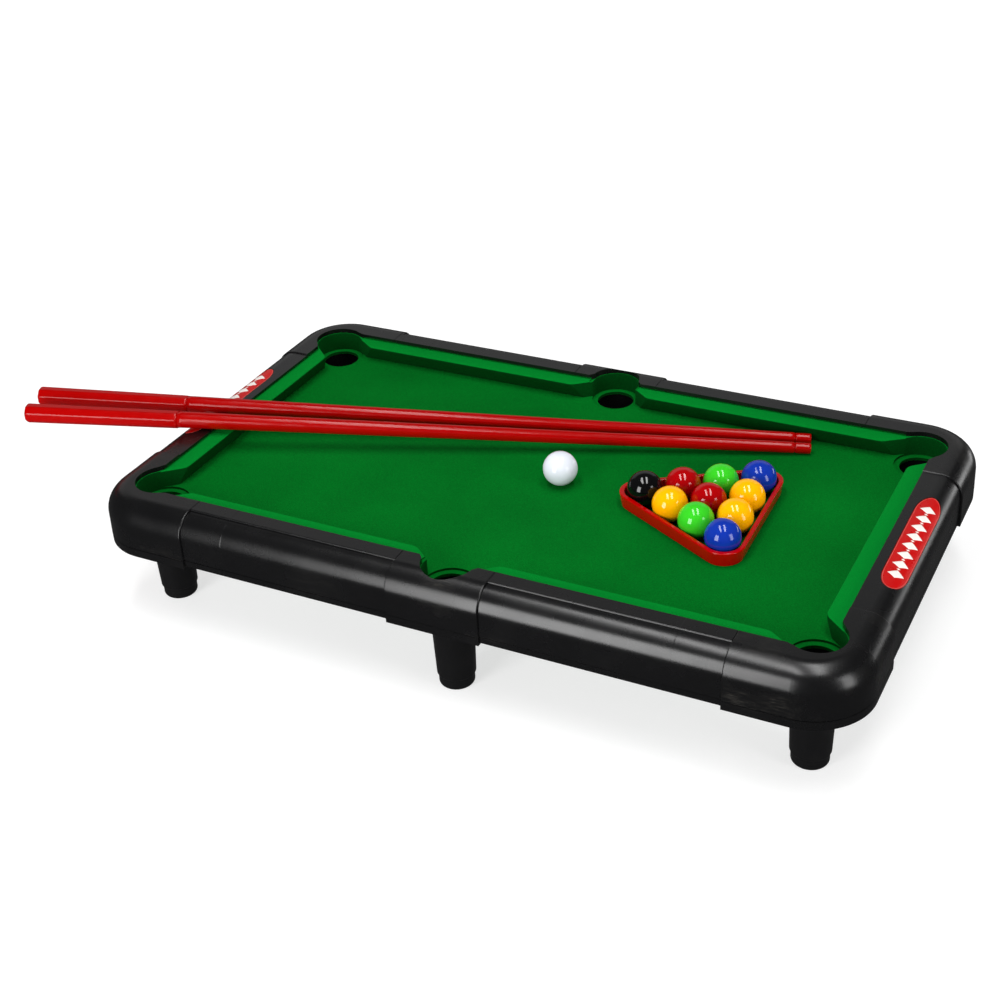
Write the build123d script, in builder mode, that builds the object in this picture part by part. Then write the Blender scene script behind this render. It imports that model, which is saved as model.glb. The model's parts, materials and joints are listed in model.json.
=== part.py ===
"""Mini pool table: black moulded frame on six legs, flocked playfield, eleven balls, rack and two cues.

Millimetres, +Z up.  The origin is on the floor, midway between the six feet.  +X runs along the
length of the table (the racked balls are on this half), +Y towards the far long rail.  Depths named
below are measured down from the flat tops of the rails.
"""
import math
import os

from build123d import *

# --- driving dimensions -------------------------------------------------------------------------
HEIGHT = 85.0          # floor to the flat tops of the rails
IN_X = 221.0           # half length between the inner edges of the end rails
IN_Y = 120.0           # half width between the inner edges of the long rails
IN_R = 11.6            # plan radius of the frame's inner edge at the corners
FLAT = 10.4            # flat strip along the inner edge of every rail
CAP_R = 15.0           # shoulder radius of the corner caps and saddles
RAIL_R = 13.6          # shoulder radius of the rails, which sit inside the caps
STEP_LONG = 1.2        # the long rails' shoulder starts this far below their flat strip
STEP_END = 0.8         # the end rails lie this far below the caps
WALL = 2.0             # wall of the upper shells
STRIP = 2.2            # thickness of the flat strip where it overhangs the playfield
DRAFT = 0.3            # lean of the outer walls over their height
PARTING = 28.4         # depth of the line between upper and lower shells
GROOVE = 0.5           # height and depth of the groove that shows along that line
LIP = 0.8              # rounding of the open ends of the caps and saddles
CAP_LOW = 34.3         # depth of the underside of the corner and saddle bases
RAIL_LOW = 32.8        # depth of the underside of the rail bases
SEAM_X = 173.2         # long rail / corner cap seam, from the middle
SEAM_Y = 76.8          # end rail / corner cap seam, from the middle
SADDLE_X = 30.0        # half length of the saddles over the middle pockets
TONGUE = 8.0           # length of the rail tongues inside the caps
FLOOR = 1.8            # floor of the lower shells
RIM_IN = -4.6          # inner limit of the lower shells, measured outward from the inner edge

BED = 15.0             # depth of the playing surface
BED_T = 2.0            # thickness of the playfield moulding
NOSE = 11.0            # cushion nose, inside the rail edge
TOE = 5.9              # foot of the cushion, inside the rail edge
CUSHION_TOP = 3.3      # depth of the cushion tops
NOSE_LOW = 4.4         # depth at which the undercut cushion face starts
FLANGE = 6.5           # the playfield runs this far under the rails

CORNER = (212.5, 107.5)  # corner pocket centre
MIDDLE = (0.0, 121.0)    # middle pocket centre
WELL_R = 16.0          # flocked pocket wall
WELL_T = 1.4           # thickness of the pocket wall
NOTCH_R = 16.3         # notch in the black shells above it
HOLE_R = 12.4          # pocket hole
LEDGE = 1.5            # depth of the ledge round the hole below the bed
CUP_R = 12.9           # inside of the pocket cups

LEG_TOP_R = 13.0
LEG_LOW_R = 11.7
LEG_END = 77.0         # depth of the lower ends of the leg tubes
SPIGOT_R = 10.7        # spigot under each cup that the leg pushes over
PLUG_R = 10.8          # foot plug
STEM_R = 9.3           # the plug's stem inside the leg

BOSS_R = 3.0
PILOT_R = 1.4
SCREW_R = 1.3
SCREW_HEAD_R = 2.6
SCREW_HEAD = 1.6

BADGE_LENGTH = 100.0
BADGE_WIDTH = 14.9
BADGE_END = 16.0       # length of each of its two half-ellipse ends
BADGE_U = 13.5         # middle of the badge, outward from the rail's inner edge
BADGE_TILT = 17.0      # lean of the badge at its middle, degrees

BALL_R = 11.0
BALL_PITCH = 23.5
GAP = 0.35             # air between loose pieces and what they lie on
RACK_AT = (70.8, 0.8)  # leading ball of the rack
RACK_TURN = 1.83       # degrees
RACK_H = 9.0

CUE_LENGTH = 518.0
CUE_TIP_R = 3.5
CUE_JOINT_R = 5.35     # shaft radius where it meets the handle
HANDLE = 104.0
TIP_LENGTH = 10.0
CUES = {"front": ((145.5, 96.8), (-340.0, -83.0)), "back": ((142.0, 108.4), (-347.0, -60.5))}

# Plans of the far right quarter: pocket mouths between the cushion noses, flares of the notches
CORNER_MOUTH = [(187.5, 109.0), (200.4, 118.0), (222.8, 95.2), (210.0, 84.0), (190.0, 95.0)]
MIDDLE_MOUTH = [(-27.5, 109.0), (-15.6, 118.4), (15.6, 118.4), (27.5, 109.0)]
CORNER_FLARE = [(198.8, 119.6), (203.6, 121.3), (224.9, 97.2), (220.6, 90.6), (195.0, 80.0), (185.0, 110.0)]
MIDDLE_FLARE = [(-19.5, 119.5), (-15.9, 123.4), (15.9, 123.4), (19.5, 119.5), (0.0, 90.0)]

# Screw positions on the far right quarter
CORNER_SCREWS = [(188.0, 134.0), (235.0, 92.0)]
SADDLE_SCREWS = [(-18.5, 137.0), (18.5, 137.0)]
LONG_SCREWS = [(48.0, 133.0), (155.0, 133.0)]
END_SCREWS = [(234.0, -62.0), (234.0, 62.0)]

SIDES = {"left": -1, "right": 1}
DEPTHS = {"front": -1, "back": 1}
POCKETS = [(sx * CORNER[0], sy * CORNER[1]) for sx in (-1, 1) for sy in (-1, 1)]
MIDDLES = [(0.0, -MIDDLE[1]), (0.0, MIDDLE[1])]

os.makedirs("parts", exist_ok=True)


def save(builder, label):
    builder.part.label = label
    export_step(builder.part, f"parts/{label}.step")


def long_plane(x):
    """Section plane across the far long rail: x outward from the inner edge, y up from the top."""
    return Plane(origin=(x, IN_Y, HEIGHT), x_dir=(0, 1, 0), z_dir=(1, 0, 0))


def end_plane(y):
    """Section plane across the right end rail, facing -Y."""
    return Plane(origin=(IN_X, y, HEIGHT), x_dir=(1, 0, 0), z_dir=(0, -1, 0))


def section(plane, top, radius, low, wall=0.0, start=0.0):
    """Filled section under the shell's surface moved in by `wall`, down to `low`."""
    side = FLAT + radius - wall
    with BuildSketch(plane, mode=Mode.PRIVATE) as sketch:
        with BuildLine():
            Line((start, -low), (start, -top - wall))
            Line((start, -top - wall), (FLAT, -top - wall))
            CenterArc((FLAT, -top - radius), radius - wall, 0, 90)
            Line((side, -top - radius), (side + DRAFT, -low))
            Line((side + DRAFT, -low), (start, -low))
        make_face()
    return sketch.sketch


def shell_section(plane, top, radius, low):
    """Section of an upper shell: a wall of even thickness, open below, clear of the playfield's edge."""
    with BuildSketch(plane, mode=Mode.PRIVATE) as clearance:
        with Locations((-5.0, -STRIP)):
            Rectangle(12.2, low + 5, align=(Align.MIN, Align.MAX))
    return section(plane, top, radius, low) - section(plane, top, radius, low + 5, WALL, -5.0) - clearance.sketch


def tongue_section(plane):
    """Section of the tongue that slides along the inside of a cap."""
    outside = section(plane, 0, CAP_R, PARTING - 1, WALL + 0.15, start=7.2)
    return outside - section(plane, 0, CAP_R, PARTING + 5, WALL + 1.35, start=-5.0)


def mirrored_to(sign_x, sign_y):
    """Mirror the piece being built from the far right quarter to the quarter asked for."""
    if sign_x < 0:
        mirror(about=Plane.YZ, mode=Mode.REPLACE)
    if sign_y < 0:
        mirror(about=Plane.XZ, mode=Mode.REPLACE)


def round_lip(builder, axis, distance, outer):
    """Round the outer edges of an upper shell's open end, which lies square to the axis at this distance."""
    end = builder.edges().filter_by_position(axis, distance - 0.01, distance + 0.01)
    on_top = end.filter_by(lambda e: abs(e.center().Z - HEIGHT) < 0.01)
    on_arc = end.filter_by(GeomType.CIRCLE).filter_by(lambda e: abs(e.radius - CAP_R) < 0.01)
    on_side = end.filter_by(GeomType.LINE).filter_by(lambda e: e.center().dot(outer) > 1 and e.length > 10)
    side = on_side.sort_by(lambda e: e.center().dot(outer))[-1]
    fillet(on_top + on_arc + [side], LIP)


def upright(points, radius, low, high, mode=Mode.ADD):
    """Upright cylinders between two depths."""
    with Locations(*[(x, y, HEIGHT - low) for x, y in points]):
        Cylinder(radius, low - high, align=(Align.CENTER, Align.CENTER, Align.MIN), mode=mode)


def bosses(points, high, low):
    """Screw bosses hanging inside a shell, with their pilot holes."""
    upright(points, BOSS_R, low, high)
    upright(points, PILOT_R, low, low - 11, Mode.SUBTRACT)


def notch(centre, flare):
    """Cut the opening the upper shell leaves over a pocket, flared where it meets the inner edge."""
    with BuildSketch(Plane.XY.offset(HEIGHT - 12), mode=Mode.PRIVATE) as opening:
        with Locations(centre):
            Circle(NOTCH_R)
        with BuildLine():
            Polyline(*flare, close=True)
        make_face()
    extrude(opening.sketch, amount=20, mode=Mode.SUBTRACT)


# --- corner caps --------------------------------------------------------------------------------
arc_x = IN_X - IN_R
arc_y = IN_Y - IN_R
corner_axis = Axis((arc_x, arc_y, 0), (0, 0, -1))
for side, sign_x in SIDES.items():
    for depth, sign_y in DEPTHS.items():
        with BuildPart() as corner_cap:
            upright([CORNER], NOTCH_R + 1.5, 3.1, 1.1)
            extrude(shell_section(long_plane(SEAM_X), 0, CAP_R, PARTING), amount=arc_x - SEAM_X)
            revolve(shell_section(long_plane(arc_x), 0, CAP_R, PARTING), axis=corner_axis, revolution_arc=90)
            extrude(shell_section(end_plane(arc_y), 0, CAP_R, PARTING), amount=arc_y - SEAM_Y)
            bosses(CORNER_SCREWS, 2.6, CAP_LOW - FLOOR)
            notch(CORNER, CORNER_FLARE)
            round_lip(corner_cap, Axis.X, SEAM_X, Vector(0, 1, 0))
            round_lip(corner_cap, Axis.Y, SEAM_Y, Vector(1, 0, 0))
            mirrored_to(sign_x, sign_y)
        save(corner_cap, f"corner_cap_{depth}_{side}")

# --- saddles over the middle pockets ------------------------------------------------------------
for depth, sign_y in DEPTHS.items():
    with BuildPart() as pocket_saddle:
        upright([MIDDLE], NOTCH_R + 1.5, 3.9, 0)
        envelope = section(long_plane(-SADDLE_X), 0, CAP_R, PARTING)
        extrude(envelope, amount=2 * SADDLE_X, mode=Mode.INTERSECT)
        extrude(shell_section(long_plane(-SADDLE_X), 0, CAP_R, PARTING), amount=2 * SADDLE_X)
        upright([MIDDLE], NOTCH_R + 1.5, 12, 3.9, Mode.SUBTRACT)
        bosses(SADDLE_SCREWS, 4.2, CAP_LOW - FLOOR)
        notch(MIDDLE, MIDDLE_FLARE)
        for end_x in (-SADDLE_X, SADDLE_X):
            round_lip(pocket_saddle, Axis.X, end_x, Vector(0, 1, 0))
        mirrored_to(1, sign_y)
    save(pocket_saddle, f"pocket_saddle_{depth}")

# --- long rails ---------------------------------------------------------------------------------
for side, sign_x in SIDES.items():
    for depth, sign_y in DEPTHS.items():
        with BuildPart() as long_rail:
            extrude(shell_section(long_plane(SADDLE_X), STEP_LONG, RAIL_R, PARTING), amount=SEAM_X - SADDLE_X)
            # the flat strip stands proud of the shoulder, level with the caps
            with BuildSketch(long_plane(SADDLE_X)):
                with Locations((FLAT / 2, -STEP_LONG / 2 - 0.4)):
                    Rectangle(FLAT, STEP_LONG + 0.8)
            extrude(amount=SEAM_X - SADDLE_X)
            strip_edges = long_rail.edges().filter_by(Axis.X).group_by(Axis.Z)[-1]
            fillet(strip_edges.sort_by(Axis.Y)[-1], 0.7)
            # tongues that slide into the saddle and into the corner cap
            extrude(tongue_section(long_plane(SADDLE_X - TONGUE)), amount=TONGUE + 4)
            extrude(tongue_section(long_plane(SEAM_X - 4)), amount=TONGUE + 4)
            bosses(LONG_SCREWS, 3.0, RAIL_LOW - FLOOR)
            mirrored_to(sign_x, sign_y)
        save(long_rail, f"long_rail_{depth}_{side}")

# --- end rails with the badge recess, and the badges ----------------------------------------------
lean = math.radians(BADGE_TILT)
badge_normal = (math.sin(lean), 0, math.cos(lean))


def badge_piece(outer, inner, grow):
    """Oval patch of the end rail's skin between two depths: straight sides and half-ellipse ends."""
    patch = section(end_plane(60), STEP_END, RAIL_R, 20, outer)
    patch -= section(end_plane(60), STEP_END, RAIL_R, 25, inner, start=-5.0)
    across = Plane(origin=(IN_X + BADGE_U, 0, HEIGHT - 2.2), x_dir=(0, 1, 0), z_dir=badge_normal)
    end_x = BADGE_LENGTH / 2 - BADGE_END
    wide = BADGE_WIDTH / 2 + grow
    with BuildSketch(across, mode=Mode.PRIVATE) as oval:
        Rectangle(2 * end_x, 2 * wide)
        with Locations((end_x, 0), (-end_x, 0)):
            Ellipse(BADGE_END + grow, wide)
    return extrude(patch, 120) & extrude(oval.sketch, 7, both=True)


badge_recess = badge_piece(-1.0, 1.0, 0.2)
badge_plate = badge_piece(0.3, 1.0, 0.0)
for side, sign_x in SIDES.items():
    with BuildPart() as end_rail:
        extrude(shell_section(end_plane(SEAM_Y), STEP_END, RAIL_R, PARTING), amount=2 * SEAM_Y)
        add(badge_recess, mode=Mode.SUBTRACT)
        extrude(tongue_section(end_plane(SEAM_Y + TONGUE)), amount=TONGUE + 4)
        extrude(tongue_section(end_plane(4 - SEAM_Y)), amount=TONGUE + 4)
        bosses(END_SCREWS, 3.0, RAIL_LOW - FLOOR)
        mirrored_to(sign_x, 1)
    save(end_rail, f"end_rail_{side}")

    with BuildPart() as badge:
        add(badge_plate)
        mirrored_to(sign_x, 1)
    save(badge, f"badge_{side}")

# --- lower shells: each is one cell of a ring of floor, outer wall and inner wall ----------------


def ring_plan(outer, inner):
    """Plan of a band of the frame between two offsets from its inner edge."""
    with BuildSketch(mode=Mode.PRIVATE) as sketch:
        RectangleRounded(2 * (IN_X + outer), 2 * (IN_Y + outer), IN_R + outer)
        RectangleRounded(2 * (IN_X + inner), 2 * (IN_Y + inner), IN_R + inner, mode=Mode.SUBTRACT)
    return sketch.sketch


def raise_plan(sketch, low, high, mode=Mode.ADD, taper=0.0):
    """Extrude a plan between two depths."""
    extrude(sketch.moved(Location((0, 0, HEIGHT - low))), amount=low - high, mode=mode, taper=taper)


def lower_shell(outer, low, x_range, y_range, screws, pocket=None):
    """Channel along the frame; under a pocket it carries the cup and the spigot for the leg."""
    raise_plan(ring_plan(outer, RIM_IN), low, low - FLOOR)
    raise_plan(ring_plan(outer, outer - WALL), low, PARTING + GROOVE)
    raise_plan(ring_plan(outer - GROOVE, outer - WALL), PARTING + GROOVE, PARTING)
    raise_plan(ring_plan(RIM_IN + 1.8, RIM_IN), low, BED + BED_T)
    with Locations((sum(x_range) / 2, sum(y_range) / 2, HEIGHT - 25)):
        Box(x_range[1] - x_range[0], y_range[1] - y_range[0], 60, mode=Mode.INTERSECT)
    if pocket:
        upright([pocket], LEG_TOP_R + 4.5, low, low - FLOOR)
        upright([pocket], CUP_R + 1.7, low, BED + LEDGE + BED_T)
        upright([pocket], CUP_R, low - FLOOR, BED, Mode.SUBTRACT)
        upright([pocket], WELL_R + WELL_T + 0.3, BED + LEDGE + BED_T, BED, Mode.SUBTRACT)
        upright([pocket], SPIGOT_R, low + 9, low)
        upright([pocket], SPIGOT_R - 1.8, low + 9, low, Mode.SUBTRACT)
    upright(screws, SCREW_R + 0.2, low, low - FLOOR, Mode.SUBTRACT)


cap_out = FLAT + CAP_R + DRAFT
rail_out = FLAT + RAIL_R + DRAFT
far_x = IN_X + 40
far_y = IN_Y + 40
for side, sign_x in SIDES.items():
    for depth, sign_y in DEPTHS.items():
        with BuildPart() as corner_base:
            lower_shell(cap_out, CAP_LOW, (SEAM_X, far_x), (SEAM_Y, far_y), CORNER_SCREWS, CORNER)
            mirrored_to(sign_x, sign_y)
        save(corner_base, f"corner_base_{depth}_{side}")

        with BuildPart() as long_base:
            lower_shell(rail_out, RAIL_LOW, (SADDLE_X, SEAM_X), (0, far_y), LONG_SCREWS)
            mirrored_to(sign_x, sign_y)
        save(long_base, f"long_base_{depth}_{side}")

for depth, sign_y in DEPTHS.items():
    with BuildPart() as saddle_base:
        lower_shell(cap_out, CAP_LOW, (-SADDLE_X, SADDLE_X), (0, far_y), SADDLE_SCREWS, MIDDLE)
        mirrored_to(1, sign_y)
    save(saddle_base, f"saddle_base_{depth}")

for side, sign_x in SIDES.items():
    with BuildPart() as end_base:
        lower_shell(rail_out, RAIL_LOW, (0, far_x), (-SEAM_Y, SEAM_Y), END_SCREWS)
        mirrored_to(sign_x, 1)
    save(end_base, f"end_base_{side}")

# --- flocked playfield: bed, cushions, pocket walls and ledges in one moulding --------------------
toe_x = IN_X - TOE
toe_y = IN_Y - TOE
nose_y = IN_Y - NOSE
nose_x = IN_X - NOSE


def play_plan():
    """Plan of the opening between the cushion noses, with its six pocket mouths and wells."""
    with BuildSketch(mode=Mode.PRIVATE) as sketch:
        Rectangle(2 * nose_x, 2 * nose_y)
        for sx in (-1, 1):
            for sy in (-1, 1):
                with BuildLine():
                    Polyline(*[(sx * x, sy * y) for x, y in CORNER_MOUTH], close=True)
                make_face()
        with BuildLine():
            Polyline(*MIDDLE_MOUTH, *[(-x, -y) for x, y in MIDDLE_MOUTH], close=True)
        make_face()
        on_long = sketch.vertices().filter_by(lambda v: abs(abs(v.Y) - nose_y) < 0.05 and abs(v.X) < 200)
        on_end = sketch.vertices().filter_by(lambda v: abs(abs(v.X) - nose_x) < 0.05 and abs(v.Y) < 90)
        fillet(on_long + on_end, 7.0)
        with Locations(*POCKETS, *MIDDLES):
            Circle(WELL_R)
    return sketch.sketch


playfield_plan = RectangleRounded(2 * (IN_X + FLANGE), 2 * (IN_Y + FLANGE), 14)
toe_plan = Rectangle(2 * toe_x, 2 * toe_y)
with BuildSketch() as channel:
    RectangleRounded(2 * (IN_X + FLANGE - 2), 2 * (IN_Y + FLANGE - 2), 12)
    Rectangle(2 * (toe_x + 2.4), 2 * (toe_y + 2.4), mode=Mode.SUBTRACT)
    # solid round each pocket, so that the hollow never meets its mouth
    with Locations(*POCKETS, *MIDDLES):
        Circle(WELL_R + WELL_T + 2.5, mode=Mode.SUBTRACT)
undercut = math.degrees(math.atan((NOSE - TOE) / (BED - NOSE_LOW)))
with BuildPart() as playfield:
    raise_plan(playfield_plan, BED + BED_T, CUSHION_TOP)
    upright(POCKETS, WELL_R + WELL_T, BED + LEDGE + BED_T, CUSHION_TOP)
    upright(MIDDLES, WELL_R + WELL_T, BED + LEDGE + BED_T, CUSHION_TOP)
    upright(MIDDLES, NOTCH_R + 1.8, 4.1, CUSHION_TOP, Mode.SUBTRACT)
    # hollow behind the cushions, from below
    raise_plan(channel.sketch, BED + BED_T, CUSHION_TOP + 2, Mode.SUBTRACT)
    # undercut cushion faces, then the straight-sided opening with the mouths and wells
    raise_plan(toe_plan, BED, NOSE_LOW, Mode.SUBTRACT, taper=undercut)
    raise_plan(play_plan(), BED, 0, Mode.SUBTRACT)
    top_z = HEIGHT - CUSHION_TOP
    nose_edges = playfield.edges().filter_by_position(Axis.Z, top_z - 0.01, top_z + 0.01)
    inside = nose_edges.filter_by(lambda e: abs(e.center().X) < nose_x + 5 and abs(e.center().Y) < nose_y + 8)
    chamfer(inside, 0.5)
    # ledges round the holes, and ribs under the bed
    upright(POCKETS + MIDDLES, WELL_R, BED + LEDGE, BED, Mode.SUBTRACT)
    upright(POCKETS + MIDDLES, HOLE_R, BED + 6, BED, Mode.SUBTRACT)
    rib_z = HEIGHT - BED - BED_T - 1.5
    with Locations(*[(x, 0, rib_z) for x in (-160, -80, 0, 80, 160)]):
        Box(1.6, 2 * (IN_Y - 22), 3)
    with Locations(*[(0, y, rib_z) for y in (-60, 0, 60)]):
        Box(2 * (IN_X - 6), 1.6, 3)
save(playfield, "playfield")

# --- legs, foot plugs and screws ------------------------------------------------------------------
LEG_PLACES = {f"{d}_{s}": (sx * CORNER[0], sy * CORNER[1]) for s, sx in SIDES.items() for d, sy in DEPTHS.items()}
LEG_PLACES |= {f"{d}_middle": (0.0, sy * MIDDLE[1]) for d, sy in DEPTHS.items()}
for place, (x, y) in LEG_PLACES.items():
    axis = Axis((x, y, 0), (0, 0, 1))
    across = Plane(origin=(x, y, HEIGHT), x_dir=(1, 0, 0), z_dir=(0, -1, 0))
    with BuildPart() as leg:
        with BuildSketch(across):
            with BuildLine():
                Polyline((SPIGOT_R + 0.1, -CAP_LOW), (LEG_TOP_R, -CAP_LOW), (LEG_LOW_R, -LEG_END),
                         (STEM_R + 0.1, -LEG_END), (STEM_R + 0.1, -LEG_END + 10),
                         (SPIGOT_R + 0.1, -CAP_LOW - 12), close=True)
            make_face()
        revolve(axis=axis)
        rim = leg.edges().group_by(Axis.Z)[0].sort_by(SortBy.RADIUS)[-1]
        fillet(rim, 0.6)
    save(leg, f"leg_{place}")

    with BuildPart() as foot_plug:
        with BuildSketch(across):
            with BuildLine():
                Polyline((0, -HEIGHT), (PLUG_R, -HEIGHT), (PLUG_R, -LEG_END), (STEM_R, -LEG_END),
                         (STEM_R - 0.3, -LEG_END + 8), (STEM_R - 2, -LEG_END + 8), (STEM_R - 2, -HEIGHT + 2.5),
                         (0, -HEIGHT + 2.5), close=True)
            make_face()
        revolve(axis=axis)
        fillet(foot_plug.edges().group_by(Axis.Z)[0], 2.4)
    save(foot_plug, f"foot_plug_{place}")


def screws(points, low):
    """Pan-head screws with a cross recess, driven up through the floor of a lower shell."""
    places = [(sx * x, sy * y) for x, y in points for sx in (-1, 1) for sy in (-1, 1)]
    places = sorted({(round(x, 2), round(y, 2)) for x, y in places})
    upright(places, SCREW_R, low, low - 10)
    with Locations(*[(x, y, HEIGHT - low) for x, y in places]):
        Cone(SCREW_HEAD_R - 0.9, SCREW_HEAD_R, SCREW_HEAD, align=(Align.CENTER, Align.CENTER, Align.MAX))
    for long_way, cross_way in ((2.6, 0.6), (0.6, 2.6)):
        with Locations(*[(x, y, HEIGHT - low - SCREW_HEAD) for x, y in places]):
            Box(long_way, cross_way, 1.0, align=(Align.CENTER, Align.CENTER, Align.MIN), mode=Mode.SUBTRACT)


with BuildPart() as base_screws:
    screws(CORNER_SCREWS + SADDLE_SCREWS, CAP_LOW)
    screws(LONG_SCREWS + END_SCREWS, RAIL_LOW)
save(base_screws, "base_screws")

# --- balls ------------------------------------------------------------------------------------------
turn = math.radians(RACK_TURN)
row_step = BALL_PITCH * math.sqrt(3) / 2


def rack_point(along, across):
    """Plan point from the rack's own axes: along away from the leading ball, across to the left."""
    x = RACK_AT[0] + math.cos(turn) * along - math.sin(turn) * across
    y = RACK_AT[1] + math.sin(turn) * along + math.cos(turn) * across
    return x, y


RACKED = {
    "black": (0, 0), "yellow_a": (1, 0), "red_a": (1, 1), "green_a": (2, 0), "red_b": (2, 1), "green_b": (2, 2),
    "blue_a": (3, 0), "yellow_b": (3, 1), "yellow_c": (3, 2), "blue_b": (3, 3),
}
ball_places = {name: rack_point(row_step * i, BALL_PITCH * (j - i / 2)) for name, (i, j) in RACKED.items()}
ball_places["cue"] = (12.8, 3.4)
for name, (x, y) in ball_places.items():
    with BuildPart() as ball:
        with Locations((x, y, HEIGHT - BED + GAP + BALL_R)):
            Sphere(BALL_R)
    save(ball, f"ball_{name}")

# --- rack ---------------------------------------------------------------------------------------------


def rack_plan(offset, radius):
    """Rounded triangle this far outside the lines through the corner balls' centres."""
    corners = [(0, 0), (3 * row_step, -1.5 * BALL_PITCH), (3 * row_step, 1.5 * BALL_PITCH)]
    middle = 2 * row_step
    grown = [(middle + (x - middle) * (1 + offset / row_step), y * (1 + offset / row_step)) for x, y in corners]
    with BuildSketch(mode=Mode.PRIVATE) as sketch:
        with BuildLine():
            Polyline(*[rack_point(x, y) for x, y in grown], close=True)
        make_face()
        fillet(sketch.vertices(), radius)
    return sketch.sketch


rack_low = BED - GAP
rack_top = rack_low - RACK_H
with BuildPart() as rack:
    loft_low = rack_plan(13.1, 11.8).moved(Location((0, 0, HEIGHT - rack_low)))
    loft_high = rack_plan(14.5, 13.2).moved(Location((0, 0, HEIGHT - rack_top)))
    loft([loft_low.face(), loft_high.face()])
    raise_plan(rack_plan(11.45, 10.4), rack_low, rack_top, Mode.SUBTRACT)
    rims = rack.edges().group_by(Axis.Z)[-1]
    fillet(rims, 0.7)
save(rack, "rack")

# --- cues: moulded handle with eight flats, tapered shaft, separate tip -------------------------------
for name, (tip_xy, butt_xy) in CUES.items():
    run_x = butt_xy[0] - tip_xy[0]
    run_y = butt_xy[1] - tip_xy[1]
    level = math.hypot(run_x, run_y)
    # the shaft lies on the bed at its tip and on the inner edge of the left end rail
    reach = (tip_xy[0] + IN_X) / abs(run_x) * level
    shaft_r = CUE_TIP_R + (CUE_JOINT_R - CUE_TIP_R) * (reach - TIP_LENGTH) / (CUE_LENGTH - HANDLE - TIP_LENGTH)
    tip_z = HEIGHT - BED + GAP + CUE_TIP_R
    rail_z = HEIGHT - STEP_END + GAP + shaft_r
    slope = (rail_z - tip_z) / reach
    direction = Vector(run_x / level, run_y / level, slope).normalized()
    tip_end = Vector(tip_xy[0], tip_xy[1], tip_z)

    def cue_plane(distance):
        """Plane square to the cue this far from its tip end, facing the butt."""
        return Plane(origin=tip_end + direction * distance, x_dir=(0, 0, 1), z_dir=direction)

    joint = CUE_LENGTH - HANDLE
    with BuildPart() as cue_tip:
        with BuildSketch(cue_plane(0)):
            Circle(CUE_TIP_R)
        extrude(amount=TIP_LENGTH)
        fillet(cue_tip.faces().sort_by(Axis.X)[-1].edges(), 0.9)
    save(cue_tip, f"cue_{name}_tip")

    with BuildPart() as cue_shaft:
        with BuildSketch(cue_plane(TIP_LENGTH)):
            Circle(CUE_TIP_R - 0.45)
        extrude(amount=0.8)
        with BuildSketch(cue_plane(TIP_LENGTH + 0.8)):
            Circle(CUE_TIP_R)
        with BuildSketch(cue_plane(joint)):
            Circle(CUE_JOINT_R)
        loft()
    save(cue_shaft, f"cue_{name}_shaft")

    with BuildPart() as cue_handle:
        with BuildSketch(cue_plane(joint)):
            RegularPolygon(CUE_JOINT_R + 0.75, 8)
        with BuildSketch(cue_plane(CUE_LENGTH)):
            RegularPolygon(CUE_JOINT_R + 1.25, 8)
        loft()
        chamfer(cue_handle.faces().sort_by(Axis.X)[0].edges(), 1.0)
    save(cue_handle, f"cue_{name}_handle")
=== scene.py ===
import json
import math
import random

import bmesh
import bpy
from mathutils import Euler, Matrix, Vector
from mathutils.bvhtree import BVHTree


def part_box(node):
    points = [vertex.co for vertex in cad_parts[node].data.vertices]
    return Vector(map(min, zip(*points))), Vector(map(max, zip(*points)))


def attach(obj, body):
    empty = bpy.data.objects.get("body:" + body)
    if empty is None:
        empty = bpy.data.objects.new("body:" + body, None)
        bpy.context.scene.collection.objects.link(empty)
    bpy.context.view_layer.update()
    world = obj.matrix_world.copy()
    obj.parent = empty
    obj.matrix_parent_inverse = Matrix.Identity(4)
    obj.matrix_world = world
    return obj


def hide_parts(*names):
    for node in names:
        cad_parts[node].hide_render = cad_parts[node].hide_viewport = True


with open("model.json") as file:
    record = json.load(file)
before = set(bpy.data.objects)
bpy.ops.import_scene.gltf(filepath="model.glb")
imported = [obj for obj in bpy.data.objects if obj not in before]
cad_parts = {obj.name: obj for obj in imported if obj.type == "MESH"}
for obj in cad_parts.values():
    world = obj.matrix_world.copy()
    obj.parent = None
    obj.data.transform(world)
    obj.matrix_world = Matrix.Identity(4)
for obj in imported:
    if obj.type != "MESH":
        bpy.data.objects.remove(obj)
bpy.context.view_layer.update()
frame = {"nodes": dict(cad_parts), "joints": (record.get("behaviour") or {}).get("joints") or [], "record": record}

MM = 0.001

bl_info = {
    "name": "Mini pool table",
    "version": (1, 0, 0),
    "blender": (4, 5, 0),
    "location": "View3D > Sidebar > Pool table",
    "description": "Finishes, balls, cues, badges and studio for a mini pool table built on its packed frame",
    "category": "Object",
}

# --- the frame's own groups of nodes --------------------------------------------------------------
NODES = frame["nodes"]
SLOT_OF = {row["node"]: row["material_slot"] for row in frame["record"]["subparts"]}
SHELLS = sorted(n for n in NODES if SLOT_OF[n] == "frame_black")
LEGS = sorted(n for n in NODES if SLOT_OF[n] == "leg_black")
BALLS = sorted(n for n in NODES if n.startswith("ball_"))
BADGES = sorted(n for n in NODES if n.startswith("badge_"))
CUES = ("front", "back")
STROKE = {joint["child"]: Vector(joint["axis"]).normalized() for joint in frame["joints"]
          if joint["name"].endswith("_stroke")}


# --- colours and nodes ----------------------------------------------------------------------------
def linear(hex_colour):
    """Linear RGBA of an sRGB hex colour such as "1c1c1e"."""
    srgb = [int(hex_colour[i:i + 2], 16) / 255 for i in (0, 2, 4)]
    return (*[c / 12.92 if c <= 0.04045 else ((c + 0.055) / 1.055) ** 2.4 for c in srgb], 1.0)


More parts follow.
